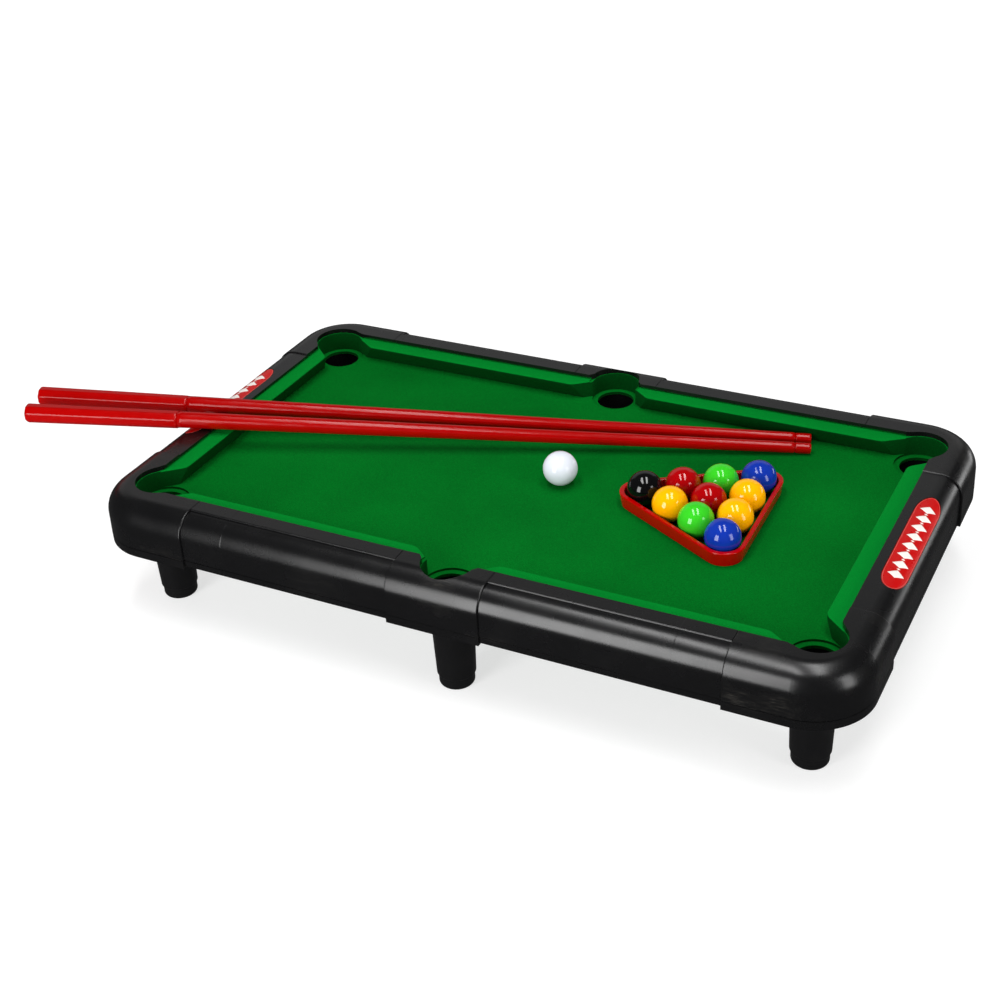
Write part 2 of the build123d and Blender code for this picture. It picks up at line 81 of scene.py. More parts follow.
def add_node(tree, kind, inputs=None, **settings):
    """Add a node: settings are its properties, and each input is a value or another node's output."""
    node = tree.nodes.new(kind)
    for name, value in settings.items():
        setattr(node, name, value)
    for name, value in (inputs or {}).items():
        if isinstance(value, bpy.types.NodeSocket):
            tree.links.new(value, node.inputs[name])
        else:
            node.inputs[name].default_value = value
    return node


def per_metre(millimetres):
    """Texture scale whose cells are this many millimetres across."""
    return 1000.0 / millimetres


def new_material(name, **constants):
    """A material with a Principled shader whose sockets hold these constants, and its object coordinates."""
    material = bpy.data.materials.new(name)
    material.use_nodes = True
    tree = material.node_tree
    tree.nodes.clear()
    shader = add_node(tree, "ShaderNodeBsdfPrincipled", constants)
    add_node(tree, "ShaderNodeOutputMaterial", {"Surface": shader.outputs["BSDF"]})
    place = add_node(tree, "ShaderNodeTexCoord").outputs["Object"]
    return material, tree, shader, place


def scratches(tree, place, length, width, turn, share):
    """Sparse hair lines of this length and width in millimetres: 1 on a line and 0 elsewhere."""
    mapping = add_node(tree, "ShaderNodeMapping", {"Vector": place, "Rotation": turn,
                                                   "Scale": (1.0, length / width, length / width)})
    lines = add_node(tree, "ShaderNodeTexNoise", {"Vector": mapping.outputs["Vector"],
                                                  "Scale": per_metre(length), "Detail": 1.0})
    ramp = add_node(tree, "ShaderNodeMapRange", {"Value": lines.outputs["Fac"], "From Min": share,
                                                 "From Max": share + 0.03})
    return ramp.outputs["Result"]


# --- materials ------------------------------------------------------------------------------------
# hair scratches: length and width in millimetres, turn, and the noise level at which a line starts
HAIR_SCRATCHES = (
    (16, 0.30, (0.1, 0.2, 0.15), 0.64),
    (7, 0.22, (0.5, -0.4, 1.25), 0.64),
    (9, 0.22, (-0.6, 0.5, 2.3), 0.65),
)
SCRATCH_PALE = "7d786f"
POLISH_SPREAD = 0.07    # how far the shells' roughness wanders to either side
WITNESS_WIDTH = 0.5 * MM
ZINC_DARK, ZINC_PALE = "9a9a98", "c4c6c8"
FLOCK_SHEEN = "12a03a"


def moulded_abs(name, colour, roughness, scuffs, witness=None):
    """Injection-moulded black ABS: a satin skin with fine mould texture, faint sink waves that bend the
    long highlights, and hair scratches from handling that show paler than the skin. A witness line is
    the fine step that a mould insert leaves across a rail, at this distance from the table's middle."""
    material, tree, shader, place = new_material(name, **{"IOR": 1.54, "Specular IOR Level": 0.42})
    skin = add_node(tree, "ShaderNodeTexNoise", {"Vector": place, "Scale": per_metre(0.9), "Detail": 2.0})
    sinks = add_node(tree, "ShaderNodeTexNoise", {"Vector": place, "Scale": per_metre(45), "Detail": 1.0})
    bloom = add_node(tree, "ShaderNodeTexNoise", {"Vector": place, "Scale": per_metre(26), "Detail": 4.0})
    hairs = [scratches(tree, place, *hair) for hair in HAIR_SCRATCHES]
    marks = hairs[0]
    for hair in hairs[1:]:
        marks = add_node(tree, "ShaderNodeMath", {0: marks, 1: hair}, operation="MAXIMUM").outputs[0]
    patches = add_node(tree, "ShaderNodeMapRange", {"Value": bloom.outputs["Fac"], "From Min": 0.53,
                                                    "From Max": 0.72, "To Max": scuffs})
    worn = add_node(tree, "ShaderNodeMath", {0: marks, 1: patches.outputs["Result"]}, operation="MULTIPLY")
    base = add_node(tree, "ShaderNodeMix", {"Factor": worn.outputs[0], "A": linear(colour),
                                            "B": linear(SCRATCH_PALE)}, data_type="RGBA")
    polish = add_node(tree, "ShaderNodeMapRange", {"Value": bloom.outputs["Fac"],
                                                   "To Min": roughness - POLISH_SPREAD,
                                                   "To Max": roughness + POLISH_SPREAD})
    smooth = add_node(tree, "ShaderNodeMath", {0: worn.outputs[0], 1: 0.3, 2: polish.outputs["Result"]},
                      operation="MULTIPLY_ADD")
    waves = add_node(tree, "ShaderNodeBump", {"Height": sinks.outputs["Fac"], "Distance": 0.3 * MM,
                                              "Strength": 0.5})
    grain = add_node(tree, "ShaderNodeBump", {"Height": skin.outputs["Fac"], "Distance": 0.010 * MM,
                                              "Normal": waves.outputs["Normal"]})
    normal = grain
    if witness:
        along = add_node(tree, "ShaderNodeSeparateXYZ", {"Vector": place})
        off = add_node(tree, "ShaderNodeMath", {0: along.outputs["X"]}, operation="ABSOLUTE")
        line = add_node(tree, "ShaderNodeMapRange", {"Value": off.outputs[0], "From Min": witness,
                                                     "From Max": witness + WITNESS_WIDTH})
        normal = add_node(tree, "ShaderNodeBump", {"Height": line.outputs["Result"], "Distance": 0.05 * MM,
                                                   "Normal": grain.outputs["Normal"]})
    tree.links.new(base.outputs["Result"], shader.inputs["Base Color"])
    tree.links.new(smooth.outputs[0], shader.inputs["Roughness"])
    tree.links.new(normal.outputs["Normal"], shader.inputs["Normal"])
    return material


def nylon_flock(name, bed, between_fibres, cushion, steep, cushion_height):
    """Nylon flock blown onto a moulding: short upright fibres give a matt green with a fine speckle and
    broad soft patches where the pile leans. A paler green is laid along the cushion tops by height, and
    painted shade, a darker green, on steep walls by their slope. The speckle is drawn about 1 mm coarse,
    because the fibres themselves would not show."""
    material, tree, shader, place = new_material(name, **{
        "Roughness": 0.96, "IOR": 1.5, "Specular IOR Level": 0.03, "Sheen Weight": 0.12,
        "Sheen Roughness": 0.5, "Sheen Tint": linear(FLOCK_SHEEN)})
    fibres = add_node(tree, "ShaderNodeTexNoise", {"Vector": place, "Scale": per_metre(0.9), "Detail": 3.0,
                                                   "Roughness": 0.75})
    lean = add_node(tree, "ShaderNodeTexNoise", {"Vector": place, "Scale": per_metre(80), "Detail": 3.0})
    tone = add_node(tree, "ShaderNodeMath", {0: lean.outputs["Fac"], 1: 0.5, 2: fibres.outputs["Fac"]},
                    operation="MULTIPLY_ADD")
    spread = add_node(tree, "ShaderNodeMapRange", {"Value": tone.outputs[0], "From Min": 0.42,
                                                   "From Max": 1.05})
    pile = add_node(tree, "ShaderNodeMix", {"Factor": spread.outputs["Result"], "A": linear(between_fibres),
                                            "B": linear(bed)}, data_type="RGBA")
    height = add_node(tree, "ShaderNodeSeparateXYZ", {"Vector": place})
    # a paler green along the cushion tops, set by height
    on_top = add_node(tree, "ShaderNodeMapRange", {"Value": height.outputs["Z"],
                                                   "From Min": cushion_height - 0.9 * MM,
                                                   "From Max": cushion_height - 0.2 * MM, "To Max": 0.6})
    tops = add_node(tree, "ShaderNodeMix", {"Factor": on_top.outputs["Result"], "A": pile.outputs["Result"],
                                            "B": linear(cushion)}, data_type="RGBA")
    # painted shade: steep faces, such as pocket walls and cushion noses, get a darker green by their slope
    facing = add_node(tree, "ShaderNodeTexCoord")
    slope = add_node(tree, "ShaderNodeSeparateXYZ", {"Vector": facing.outputs["Normal"]})
    steep_shade_mask = add_node(tree, "ShaderNodeMapRange", {"Value": slope.outputs["Z"], "From Min": 0.75,
                                                 "From Max": 0.15, "To Max": 0.9})
    base = add_node(tree, "ShaderNodeMix", {"Factor": steep_shade_mask.outputs["Result"], "A": tops.outputs["Result"],
                                            "B": linear(steep)}, data_type="RGBA")
    fuzz = add_node(tree, "ShaderNodeBump", {"Height": fibres.outputs["Fac"], "Distance": 0.35 * MM,
                                             "Strength": 0.8})
    tree.links.new(base.outputs["Result"], shader.inputs["Base Color"])
    tree.links.new(fuzz.outputs["Normal"], shader.inputs["Normal"])
    return material


def moulded_gloss(name, colour, roughness, sink_mm, depth_mm, level=0.5):
    """Glossy plastic of the balls, rack, cues and badges: strong colour under a clear skin whose shallow
    sink marks, of this width and depth, break the reflections, with a slightly uneven polish."""
    material, tree, shader, place = new_material(name, **{"IOR": 1.5, "Specular IOR Level": level})
    sinks = add_node(tree, "ShaderNodeTexNoise", {"Vector": place, "Scale": per_metre(sink_mm),
                                                  "Detail": 0.5})
    haze = add_node(tree, "ShaderNodeTexNoise", {"Vector": place, "Scale": per_metre(6), "Detail": 4.0})
    deep = [c * 0.9 for c in linear(colour)[:3]] + [1.0]
    base = add_node(tree, "ShaderNodeMix", {"Factor": haze.outputs["Fac"], "A": deep, "B": linear(colour)},
                    data_type="RGBA")
    smooth = add_node(tree, "ShaderNodeMapRange", {"Value": haze.outputs["Fac"], "To Min": roughness * 0.7,
                                                   "To Max": roughness * 1.3})
    uneven = add_node(tree, "ShaderNodeBump", {"Height": sinks.outputs["Fac"], "Distance": depth_mm * MM,
                                               "Strength": 0.8})
    tree.links.new(base.outputs["Result"], shader.inputs["Base Color"])
    tree.links.new(smooth.outputs["Result"], shader.inputs["Roughness"])
    tree.links.new(uneven.outputs["Normal"], shader.inputs["Normal"])
    return material


def zinc_steel(name):
    """Zinc-plated steel screws: pale metal with a slightly blotchy plating."""
    material, tree, shader, place = new_material(name, Metallic=1.0)
    plating = add_node(tree, "ShaderNodeTexNoise", {"Vector": place, "Scale": per_metre(1.2), "Detail": 3.0})
    base = add_node(tree, "ShaderNodeMix", {"Factor": plating.outputs["Fac"], "A": linear(ZINC_DARK),
                                            "B": linear(ZINC_PALE)}, data_type="RGBA")
    smooth = add_node(tree, "ShaderNodeMapRange", {"Value": plating.outputs["Fac"], "To Min": 0.22,
                                                   "To Max": 0.42})
    tree.links.new(base.outputs["Result"], shader.inputs["Base Color"])
    tree.links.new(smooth.outputs["Result"], shader.inputs["Roughness"])
    return material


def painted_board(name, colour, near_glow, far_glow):
    """Matt white paint of the studio's floor and wall, with a glow of its own that rises away from the
    lamps so that the whole of it stays evenly pale."""
    material, tree, shader, place = new_material(name, **{
        "Base Color": linear(colour), "Specular IOR Level": 0.05, "Emission Color": linear("ffffff")})
    cloud = add_node(tree, "ShaderNodeTexNoise", {"Vector": place, "Scale": per_metre(400)})
    matt = add_node(tree, "ShaderNodeMapRange", {"Value": cloud.outputs["Fac"], "To Min": 0.85,
                                                 "To Max": 0.95})
    away = add_node(tree, "ShaderNodeVectorMath", {0: place}, operation="LENGTH")
    glow = add_node(tree, "ShaderNodeMapRange", {"Value": away.outputs["Value"], "From Min": 0.35,
                                                 "From Max": 1.6, "To Min": near_glow, "To Max": far_glow})
    tree.links.new(matt.outputs["Result"], shader.inputs["Roughness"])
    tree.links.new(glow.outputs["Result"], shader.inputs["Emission Strength"])
    return material


# --- mesh helpers ---------------------------------------------------------------------------------
def give(node, material):
    """Put one material on a CAD node."""
    mesh = NODES[node].data
    mesh.materials.clear()
    mesh.materials.append(material)


def place_piece(name, mesh, material, body):
    """Link a finished mesh as a smooth-shaded piece that rides on a body."""
    mesh.materials.append(material)
    mesh.polygons.foreach_set("use_smooth", [True] * len(mesh.polygons))
    piece = bpy.data.objects.new(name, mesh)
    bpy.context.scene.collection.objects.link(piece)
    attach(piece, body)
    return piece


def stack_rings(name, rings):
    """Closed mesh through rings of points, one after another, capped by a fan at each end."""
    shape = bmesh.new()
    loops = [[shape.verts.new(point) for point in ring] for ring in rings]
    for low, high in zip(loops, loops[1:]):
        for i, vertex in enumerate(low):
            j = (i + 1) % len(low)
            shape.faces.new((vertex, low[j], high[j], high[i]))
    for loop, order in ((loops[0], -1), (loops[-1], 1)):
        middle = shape.verts.new(sum((v.co for v in loop), Vector()) / len(loop))
        for i, vertex in enumerate(loop):
            corners = (vertex, loop[(i + 1) % len(loop)])[::order]
            shape.faces.new((*corners, middle))
    bmesh.ops.recalc_face_normals(shape, faces=shape.faces)
    mesh = bpy.data.meshes.new(name)
    shape.to_mesh(mesh)
    shape.free()
    return mesh


# --- settings -------------------------------------------------------------------------------------
def length_property(name, description, millimetres):
    """A length that the user sees in the scene's own unit."""
    return bpy.props.FloatProperty(name=name, description=description, unit="LENGTH", precision=5,
                                   default=millimetres * MM)


def hex_property(name, description, default):
    """A colour written as sRGB hex."""
    return bpy.props.StringProperty(name=name, description=f"sRGB hex of {description}", default=default)


class FrameSettings(bpy.types.PropertyGroup):
    shell: hex_property("Shell colour", "the caps, rails and bases", "09090a")
    leg: hex_property("Leg colour", "the legs and foot plugs", "0b0b0c")
    scuffs: bpy.props.FloatProperty(name="Scuffs", description="Strength of the handling scratches",
                                    default=0.17, min=0.0, max=1.0)
    witness: length_property("Witness line", "Distance of the mould insert's line from the middle", 144)
    flock: hex_property("Flock colour", "the lit pile", "007220")
    flock_shadow: hex_property("Flock shadow", "the gaps between the fibres", "004812")
    # a paler green laid on the cushion tops by height
    cushion: hex_property("Cushion tops", "the thick pile there", "00802a")
    # painted shade: the darker green laid on steep walls by their slope
    steep: hex_property("Steep walls", "the thin pile there", "00320c")


class BallSettings(bpy.types.PropertyGroup):
    flash: length_property("Flash height", "Height of the mould line round each ball", 0.05)
    flash_width: length_property("Flash width", "Width of that line", 0.35)
    gate: length_property("Gate mark", "Radius of the trimmed gate mark at one pole", 0.9)
    gate_depth: length_property("Gate depth", "How deep the gate mark is sunk", 0.04)
    white: hex_property("White", "the white ball", "d9dde6")
    black: hex_property("Black", "the black ball", "070708")
    yellow: hex_property("Yellow", "the yellow balls", "ffb000")
    red: hex_property("Red", "the red balls", "a00004")
    green: hex_property("Green", "the green balls", "36c424")
    blue: hex_property("Blue", "the blue balls", "10309c")


class CueSettings(bpy.types.PropertyGroup):
    colour: hex_property("Cue red", "the cues", "9c0000")
    rack: hex_property("Rack red", "the rack", "a80000")
    ripple: length_property("Ripple", "Depth of the sink marks along the shaft", 0.07)
    seam: length_property("Seam", "Height of the two mould seams along each cue", 0.09)
    flats: bpy.props.IntProperty(name="Flats", description="Flats round the handle", default=8, min=4)
    softness: length_property("Corner softness", "Rounding between the handle's flats", 0.5)


class BadgeSettings(bpy.types.PropertyGroup):
    red: hex_property("Field", "the badge", "b80000")
    line: hex_property("Border", "the border line", "cc4a40")
    ornament: hex_property("Ornament", "the diamonds", "ece6e0")
    print_height: length_property("Print height", "Thickness of the raised print", 0.12)
    border_in: length_property("Border inset", "Distance from the badge's edge to the border line", 0.35)
    border_width: length_property("Border width", "Width of the border line", 0.4)
    end_length: length_property("End length", "Length of each half-ellipse end of the badge", 16)
    pitch: length_property("Pitch", "Distance from one large diamond to the next", 10.2)
    diamonds: bpy.props.IntProperty(name="Diamonds", description="Large diamonds in the row", default=8,
                                    min=1)


class StageSettings(bpy.types.PropertyGroup):
    floor: hex_property("Floor", "the floor and wall", "b0b0b0")
    near_glow: bpy.props.FloatProperty(name="Near glow", description="Light the floor adds by the table",
                                       default=0.66)
    far_glow: bpy.props.FloatProperty(name="Far glow", description="Light the floor adds far away",
                                      default=0.95)
    floor_size: bpy.props.FloatProperty(name="Floor size", description="Side of the floor", unit="LENGTH",
                                        default=9.0)
    wall_height: bpy.props.FloatProperty(name="Wall height", description="Height of the round wall",
                                         unit="LENGTH", default=2.0)
    azimuth: bpy.props.FloatProperty(name="Azimuth", description="Camera direction about the table",
                                     subtype="ANGLE", default=math.radians(28.392))
    elevation: bpy.props.FloatProperty(name="Elevation", description="Camera height angle",
                                       subtype="ANGLE", default=math.radians(31.482))
    roll: bpy.props.FloatProperty(name="Roll", description="Camera turn about its own axis",
                                  subtype="ANGLE", default=math.radians(-3.4))
    eye: bpy.props.FloatVectorProperty(name="Eye", description="Camera place", subtype="XYZ", unit="LENGTH",
                                       size=3, default=(0.3935, -0.7825, 0.5950))
    lens: bpy.props.FloatProperty(name="Lens", description="Focal length in millimetres", default=58.27)
    world: bpy.props.FloatProperty(name="Room light", description="Even light of the room", default=0.06)


# --- operators ------------------------------------------------------------------------------------
class POOL_OT_shells(bpy.types.Operator):
    """Finish the caps, saddles, rails and lower shells, with the legs and foot plugs"""
    bl_idname = "pool.shells"
    bl_label = "Frame shells and legs"

    def execute(self, context):
        settings = context.scene.pool_frame
        rail = moulded_abs("ABS_moulded_satin", settings.shell, roughness=0.27,
                           scuffs=settings.scuffs * 0.15, witness=settings.witness)
        cap = moulded_abs("ABS_moulded_worn", settings.shell, roughness=0.27, scuffs=settings.scuffs)
        leg = moulded_abs("ABS_moulded_leg", settings.leg, roughness=0.32, scuffs=settings.scuffs * 0.3)
        for node in SHELLS:
            give(node, cap if node.startswith(("corner_cap", "pocket_saddle")) else rail)
        for node in LEGS:
            give(node, leg)
        give("base_screws", zinc_steel("zinc_plated_steel"))
        return {"FINISHED"}


class POOL_OT_playfield(bpy.types.Operator):
    """Flock the playfield, its cushions and its pocket walls"""
    bl_idname = "pool.playfield"
    bl_label = "Playfield"

    def execute(self, context):
        settings = context.scene.pool_frame
        cushion_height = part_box("playfield")[1].z
        give("playfield", nylon_flock("nylon_flock_green", settings.flock, settings.flock_shadow,
                                      settings.cushion, settings.steep, cushion_height))
        return {"FINISHED"}


class POOL_OT_badges(bpy.types.Operator):
    """Print a border line and a row of diamonds on each end rail's badge"""
    bl_idname = "pool.badges"
    bl_label = "Badges"

    # half length and half width of each diamond, and the steps that the outlines are drawn in
    LARGE_DIAMOND = (3.7 * MM, 4.7 * MM)
    SMALL_DIAMOND = (0.7 * MM, 1.1 * MM)
    DIAMOND_STEPS = 12
    SIDE_STEPS = 48
    END_STEPS = 48
    DROP = 10 * MM    # how far off the badge its print starts before it is dropped onto it

    def lay(self, surface, points, lift):
        """Points of the tilted badge plane dropped onto the badge and lifted by a height."""
        laid = []
        for along, across in points:
            start = surface["centre"] + surface["across"] * across + Vector((0, along, 0))
            start += surface["out"] * self.DROP
            hit, normal, _, _ = surface["tree"].ray_cast(start, -surface["out"])
            if hit is None:
                raise RuntimeError(f"the badge print runs off its badge at {along}, {across}")
            laid.append(hit + normal * lift)
        return laid

    def patch(self, surface, name, rows, height):
        """Thin raised print: a grid of rows laid on the badge, with its edge turned down to it."""
        shape = bmesh.new()
        top = [[shape.verts.new(p) for p in self.lay(surface, row, height)] for row in rows]
        for low, high in zip(top, top[1:]):
            for i in range(len(low) - 1):
                shape.faces.new((low[i], low[i + 1], high[i + 1], high[i]))
        bmesh.ops.remove_doubles(shape, verts=shape.verts, dist=0.001 * MM)
        bmesh.ops.recalc_face_normals(shape, faces=shape.faces)
        rim = [e for e in shape.edges if e.is_boundary]
        skirt = bmesh.ops.extrude_edge_only(shape, edges=rim)["geom"]
        for vertex in (g for g in skirt if isinstance(g, bmesh.types.BMVert)):
            vertex.co -= surface["out"] * height
        mesh = bpy.data.meshes.new(name)
        shape.to_mesh(mesh)
        shape.free()
        return mesh

    def oval(self, surface, settings, inset):
        """Points round the badge's outline, moved inward: straight sides and half-ellipse ends."""
        wide = surface["half_width"] - inset
        end_long = settings.end_length - inset
        end_x = surface["length"] / 2 - settings.end_length
        turns = [math.pi * (0.5 - k / self.END_STEPS) for k in range(self.END_STEPS + 1)]
        half_way = [(end_x * (2 * k / self.SIDE_STEPS - 1), wide) for k in range(self.SIDE_STEPS)]
        half_way += [(end_x + end_long * math.cos(turn), wide * math.sin(turn)) for turn in turns]
        return half_way + [(-x, -y) for x, y in half_way] + half_way[:1]

    def diamond(self, middle, half_long, half_wide):
        """Rows of points across a diamond that stands at a distance along the badge."""
        steps = [2 * k / self.DIAMOND_STEPS - 1 for k in range(self.DIAMOND_STEPS + 1)]
        return [[(middle + half_long * (s + t) / 2, half_wide * (s - t) / 2) for s in steps] for t in steps]

    def surface_of(self, node):
        """The badge's middle, its outward direction, the direction across it and its search tree."""
        mesh = NODES[node].data
        up_faces = [p for p in mesh.polygons if p.normal.z > 0.6]
        lean = sum((p.normal * p.area for p in up_faces), Vector()).normalized()
        low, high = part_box(node)
        across = Vector((0, 1, 0)).cross(lean)
        tree = BVHTree.FromPolygons([v.co for v in mesh.vertices], [p.vertices for p in mesh.polygons])
        middle = (low + high) / 2
        spread = [(v.co - middle).dot(across) for v in mesh.vertices]
        middle += across * (max(spread) + min(spread)) / 2
        return {"out": lean, "across": across, "centre": middle, "tree": tree, "length": high.y - low.y,
                "half_width": (max(spread) - min(spread)) / 2}

    def execute(self, context):
        settings = context.scene.pool_badge
        field = moulded_gloss("PVC_printed_red", settings.red, roughness=0.3, sink_mm=12, depth_mm=0.02,
                              level=0.25)
        line = moulded_gloss("ink_border", settings.line, roughness=0.35, sink_mm=6, depth_mm=0.02)
        white = moulded_gloss("ink_white", settings.ornament, roughness=0.35, sink_mm=6, depth_mm=0.02)
        inner = settings.border_in + settings.border_width
        for node in BADGES:
            give(node, field)
            surface = self.surface_of(node)
            rows = [self.oval(surface, settings, inset) for inset in (settings.border_in, inner)]
            mesh = self.patch(surface, f"{node}_border", rows, settings.print_height * 0.6)
            place_piece(f"{node}_border", mesh, line, "table")
            for i in range(2 * settings.diamonds - 1):
                middle = (i / 2 - (settings.diamonds - 1) / 2) * settings.pitch
                rows = self.diamond(middle, *(self.SMALL_DIAMOND if i % 2 else self.LARGE_DIAMOND))
                mesh = self.patch(surface, f"{node}_diamond_{i}", rows, settings.print_height)
                place_piece(f"{node}_diamond_{i:02d}", mesh, white, "table")
        return {"FINISHED"}


class POOL_OT_balls(bpy.types.Operator):
    """Turn each ball with its mould line and trimmed gate mark"""
    bl_idname = "pool.balls"
    bl_label = "Balls"
    STEPS = 96    # rings from pole to pole, and points in each ring

    def turned(self, name, radius, settings):
        """A ball from pole to pole: a dimple where the gate was trimmed, and a flash line at its equator."""
        rings = []
        turns = [2 * math.pi * k / self.STEPS for k in range(self.STEPS)]
        for i in range(1, self.STEPS):
            angle = math.pi * i / self.STEPS
            from_equator = abs(angle - math.pi / 2) * radius
            size = radius + settings.flash * max(0.0, 1 - (from_equator / settings.flash_width) ** 2)
            if angle * radius < settings.gate:
                size -= settings.gate_depth
            out, up = size * math.sin(angle), size * math.cos(angle)
            rings.append([(out * math.cos(turn), out * math.sin(turn), up) for turn in turns])
        return stack_rings(name, rings)

    def execute(self, context):
        settings = context.scene.pool_ball
        draw = random.Random(7)
        finishes = {}
        for node in BALLS:
            slot = SLOT_OF[node]
            if slot not in finishes:
                hex_colour = getattr(settings, slot.removeprefix("ball_"))
                finishes[slot] = moulded_gloss(f"polished_{slot}", hex_colour, roughness=0.07, sink_mm=7,
                                               depth_mm=0.03, level=0.45)
            low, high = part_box(node)
            # the equator's line stays inside the ball's own box
            radius = (high.x - low.x) / 2 - settings.flash
            mesh = self.turned(f"{node}_turned", radius, settings)
            tilt = Euler([draw.uniform(0, math.pi) for _ in range(3)])
            mesh.transform(Matrix.Translation((low + high) / 2) @ tilt.to_matrix().to_4x4())
            piece = place_piece(f"{node}_turned", mesh, finishes[slot], node)
            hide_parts(node)
        return {"FINISHED"}


class POOL_OT_rack(bpy.types.Operator):
    """Finish the triangle rack"""
    bl_idname = "pool.rack"
    bl_label = "Rack"

    def execute(self, context):
        give("rack", moulded_gloss("PP_moulded_rack", context.scene.pool_cue.rack, roughness=0.16,
                                   sink_mm=22, depth_mm=0.06, level=0.25))
        return {"FINISHED"}


class POOL_OT_cues(bpy.types.Operator):
    """Build each cue's tip, rippled shaft and eight-flat handle along its own axis"""
    bl_idname = "pool.cues"
    bl_label = "Cues"

    SHAFT_POINTS = 72       # points round the tip and shaft
    HANDLE_POINTS = 128
    END_SLICE = 1.6 * MM    # how far from a piece's end its radius is measured
    SEAM_TURN = 0.35        # how far the two seams lie off the level, in radians
    SEAM_SPREAD = 0.09      # half width of a seam, in radians

    def span(self, node, axis):
        """Where a cue's node starts and ends along the axis, a point on its line, and its two end radii."""
        points = [v.co.copy() for v in NODES[node].data.vertices]
        along = [p.dot(axis) for p in points]
        start, end = min(along), max(along)
        middle = sum(points, Vector()) / len(points)
        line = middle - axis * middle.dot(axis)
        radii = []
        for stop in (start, end):
            near = [p for p, a in zip(points, along) if abs(a - stop) < self.END_SLICE]
            radii.append(max((p - axis * p.dot(axis) - line).length for p in near))
        return start, end, line, radii

    def ring(self, axis, line, at, count, radius_at):
        """Points round the axis at a distance along it; radius_at takes the angle from the top."""
        side = axis.cross(Vector((0, 0, 1))).normalized()
        up = side.cross(axis)
        centre = line + axis * at
        angles = [2 * math.pi * k / count for k in range(count)]
        return [centre + (up * math.cos(a) + side * math.sin(a)) * radius_at(a) for a in angles]

    def seam(self, angle, height):
        """Two low mould seams on opposite sides, a little off the level."""
        off = abs(math.sin(angle - self.SEAM_TURN - math.pi / 2))
        return height * max(0.0, 1 - (off / self.SEAM_SPREAD) ** 2)

    def rounded(self, angle, at, size, waves, settings):
        """Radius of the tip and shaft: sink marks, which are slow ripples that differ round it, and seams."""
        level = sum(math.sin(rate * at / MM + phase + angle) for rate, phase in waves)
        return size + settings.ripple * (level / len(waves) - 1) + self.seam(angle, settings.seam)

    def flatted(self, angle, size, settings):
        """Radius of the handle: a regular polygon with its corners rounded off, and lower seams."""
        face = math.pi / settings.flats
        off = (angle + face) % (2 * face) - face
        edge = size * math.cos(face) / math.cos(off)
        return min(edge, size - settings.softness * 0.35) + self.seam(angle, settings.seam * 0.4)

    def profile(self, part, length):
        """Places along a piece of a cue and how far its radius steps in there, all in millimetres."""
        if part == "tip":
            steps = [(0.0, -0.95), (0.12, -0.5), (0.4, -0.2), (0.9, 0.0)]
            steps += [(length * k / 12, 0.0) for k in range(2, 12)]
            return steps + [(length - 0.2, -0.05), (length, -0.3)]
        if part == "shaft":
            steps = [(0.0, -0.45), (0.6, -0.4), (0.8, -0.12), (1.0, 0.0)]
            return steps + [(3 + (length - 3) * k / 130, 0.0) for k in range(131)]
        steps = [(0.0, -0.45), (0.2, -0.15), (0.7, 0.0)]
        steps += [(2 + (length - 4) * k / 40, 0.0) for k in range(41)]
        # the butt is dished where the moulding cooled
        return steps + [(length - 1.0, -0.15), (length - 0.3, -0.7), (length, -1.5), (length - 0.4, -2.6)]

    def execute(self, context):
        settings = context.scene.pool_cue
        red = moulded_gloss("PP_moulded_cue", settings.colour, roughness=0.18, sink_mm=22, depth_mm=0.14,
                            level=0.22)
        draw = random.Random(11)
        for name in CUES:
            axis = STROKE[f"cue_{name}"]
            waves = [(draw.uniform(0.11, 0.35), draw.uniform(0, 6.28)) for _ in range(4)]
            for part in ("tip", "shaft", "handle"):
                node = f"cue_{name}_{part}"
                start, end, line, (first, last) = self.span(node, axis)
                length = end - start
                if part == "handle":
                    first -= settings.softness * 0.2
                rings = []
                for at_mm, step in self.profile(part, length / MM):
                    at = at_mm * MM
                    size = first + (last - first) * at / length + step * MM
                    if part == "handle":
                        points = self.ring(axis, line, start + at, self.HANDLE_POINTS,
                                           lambda angle: self.flatted(angle, size, settings))
                    else:
                        points = self.ring(axis, line, start + at, self.SHAFT_POINTS,
                                           lambda angle: self.rounded(angle, at, size, waves, settings))
                    rings.append(points)
                mesh = stack_rings(f"{node}_moulding", rings)
                piece = place_piece(f"{node}_moulding", mesh, red, f"cue_{name}")
                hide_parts(node)
        return {"FINISHED"}


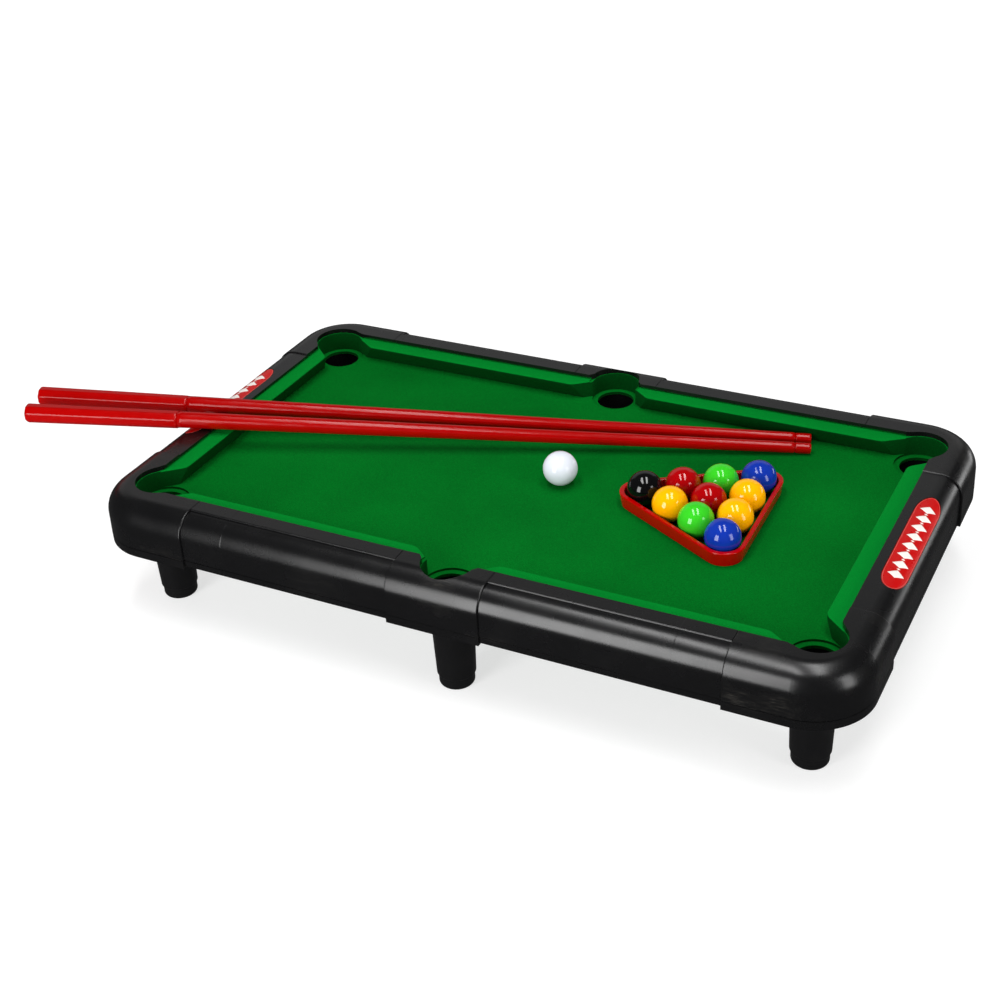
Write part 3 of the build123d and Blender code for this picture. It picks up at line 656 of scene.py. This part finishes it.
class POOL_OT_stage(bpy.types.Operator):
    """Lay the pale floor and wall, hang the studio lights and set the camera"""
    bl_idname = "pool.stage"
    bl_label = "Stage"

    # name, azimuth and elevation from the table in degrees, distance, shift to the right, width and
    # height in metres, radiance
    LIGHTS = (
        ("strip_left", 28.4, 83, 1.5, -0.32, 0.24, 1.20, 11.0),
        ("strip_right", 28.4, 83, 1.5, 0.32, 0.24, 1.20, 11.0),
        ("softbox_left", -15, 13, 1.5, 0.0, 0.58, 1.20, 9.0),
        ("softbox_right", 76, 17, 1.5, 0.0, 0.36, 0.95, 6.0),
        ("softbox_back", 147, 3, 2.2, 0.0, 0.90, 0.40, 3.0),
        ("back_wall", 208, 24, 2.6, 0.0, 4.20, 1.60, 0.32),
    )
    WALL_SIDES = 96
    CLIP_START = 0.01

    def execute(self, context):
        settings = context.scene.pool_stage
        reach = settings.floor_size / 2
        mesh = bpy.data.meshes.new("floor")
        corners = [(-reach, -reach, 0), (reach, -reach, 0), (reach, reach, 0), (-reach, reach, 0)]
        mesh.from_pydata(corners, [], [(0, 1, 2, 3)])
        mesh.materials.append(painted_board("painted_floor", settings.floor, settings.near_glow,
                                            settings.far_glow))
        floor = bpy.data.objects.new("floor", mesh)
        context.scene.collection.objects.link(floor)
        # black plastic mirrors only the lamps and the dim room, so that it stays black
        floor.visible_glossy = False

        mesh = bpy.data.meshes.new("wall")
        turns = [2 * math.pi * k / self.WALL_SIDES for k in range(self.WALL_SIDES)]
        foot, top = [[(reach * math.cos(turn), reach * math.sin(turn), z) for turn in turns]
                     for z in (0, settings.wall_height)]
        sides = [(k, (k + 1) % self.WALL_SIDES) for k in range(self.WALL_SIDES)]
        mesh.from_pydata(foot + top, [], [(k, after, after + self.WALL_SIDES, k + self.WALL_SIDES)
                                          for k, after in sides])
        mesh.materials.append(painted_board("painted_wall", settings.floor, settings.far_glow,
                                            settings.far_glow))
        wall = bpy.data.objects.new("wall", mesh)
        context.scene.collection.objects.link(wall)
        wall.visible_glossy = False

        for name, azimuth, elevation, distance, shift, width, height, radiance in self.LIGHTS:
            lamp = bpy.data.lights.new(name, "AREA")
            lamp.shape = "RECTANGLE"
            lamp.size, lamp.size_y = width, height
            lamp.energy = radiance * math.pi * width * height
            back = self.outward(math.radians(azimuth), math.radians(elevation))
            right = Vector((math.cos(math.radians(azimuth)), math.sin(math.radians(azimuth)), 0))
            turned = Matrix((right, back.cross(right), back)).transposed().to_4x4()
            light = bpy.data.objects.new(name, lamp)
            light.matrix_world = Matrix.Translation(back * distance + right * shift) @ turned
            light.visible_camera = False
            context.scene.collection.objects.link(light)

        world = bpy.data.worlds.new("room")
        world.use_nodes = True
        world.node_tree.nodes["Background"].inputs["Color"].default_value = linear("ffffff")
        world.node_tree.nodes["Background"].inputs["Strength"].default_value = settings.world
        context.scene.world = world
        context.scene.view_settings.view_transform = "Standard"

        lens = bpy.data.cameras.new("camera")
        lens.lens = settings.lens
        lens.clip_start = self.CLIP_START
        camera = bpy.data.objects.new("camera", lens)
        back = self.outward(settings.azimuth, settings.elevation)
        right = Vector((0, 0, 1)).cross(back).normalized()
        up = back.cross(right)
        turned_right = right * math.cos(settings.roll) + up * math.sin(settings.roll)
        turned_up = up * math.cos(settings.roll) - right * math.sin(settings.roll)
        turned = Matrix((turned_right, turned_up, back)).transposed().to_4x4()
        camera.matrix_world = Matrix.Translation(settings.eye) @ turned
        context.scene.collection.objects.link(camera)
        context.scene.camera = camera
        return {"FINISHED"}

    def outward(self, azimuth, elevation):
        """Unit vector from the table: azimuth 0 is towards the near long rail, 90 towards the racked end."""
        level = math.cos(elevation)
        return Vector((math.sin(azimuth) * level, -math.cos(azimuth) * level, math.sin(elevation)))


class POOL_PT_panel(bpy.types.Panel):
    """Settings and steps of the mini pool table"""
    bl_idname = "POOL_PT_panel"
    bl_label = "Mini pool table"
    bl_space_type = "VIEW_3D"
    bl_region_type = "UI"
    bl_category = "Pool table"

    def draw(self, context):
        for group in SETTINGS:
            settings = getattr(context.scene, group)
            box = self.layout.box()
            for name in settings.__annotations__:
                box.prop(settings, name)
        for operator in OPERATORS:
            self.layout.operator(operator.bl_idname)


SETTINGS = {
    "pool_frame": FrameSettings,
    "pool_badge": BadgeSettings,
    "pool_ball": BallSettings,
    "pool_cue": CueSettings,
    "pool_stage": StageSettings,
}
OPERATORS = (POOL_OT_stage, POOL_OT_shells, POOL_OT_playfield, POOL_OT_badges, POOL_OT_balls, POOL_OT_rack,
             POOL_OT_cues)


def register():
    for cls in (*SETTINGS.values(), *OPERATORS, POOL_PT_panel):
        bpy.utils.register_class(cls)
    for name, group in SETTINGS.items():
        setattr(bpy.types.Scene, name, bpy.props.PointerProperty(type=group))


def unregister():
    for name in SETTINGS:
        delattr(bpy.types.Scene, name)
    for cls in reversed((*SETTINGS.values(), *OPERATORS, POOL_PT_panel)):
        bpy.utils.unregister_class(cls)


def main():
    register()
    for operator in OPERATORS:
        group, action = operator.bl_idname.split(".")
        getattr(getattr(bpy.ops, group), action)()


if __name__ == "__main__":
    main()
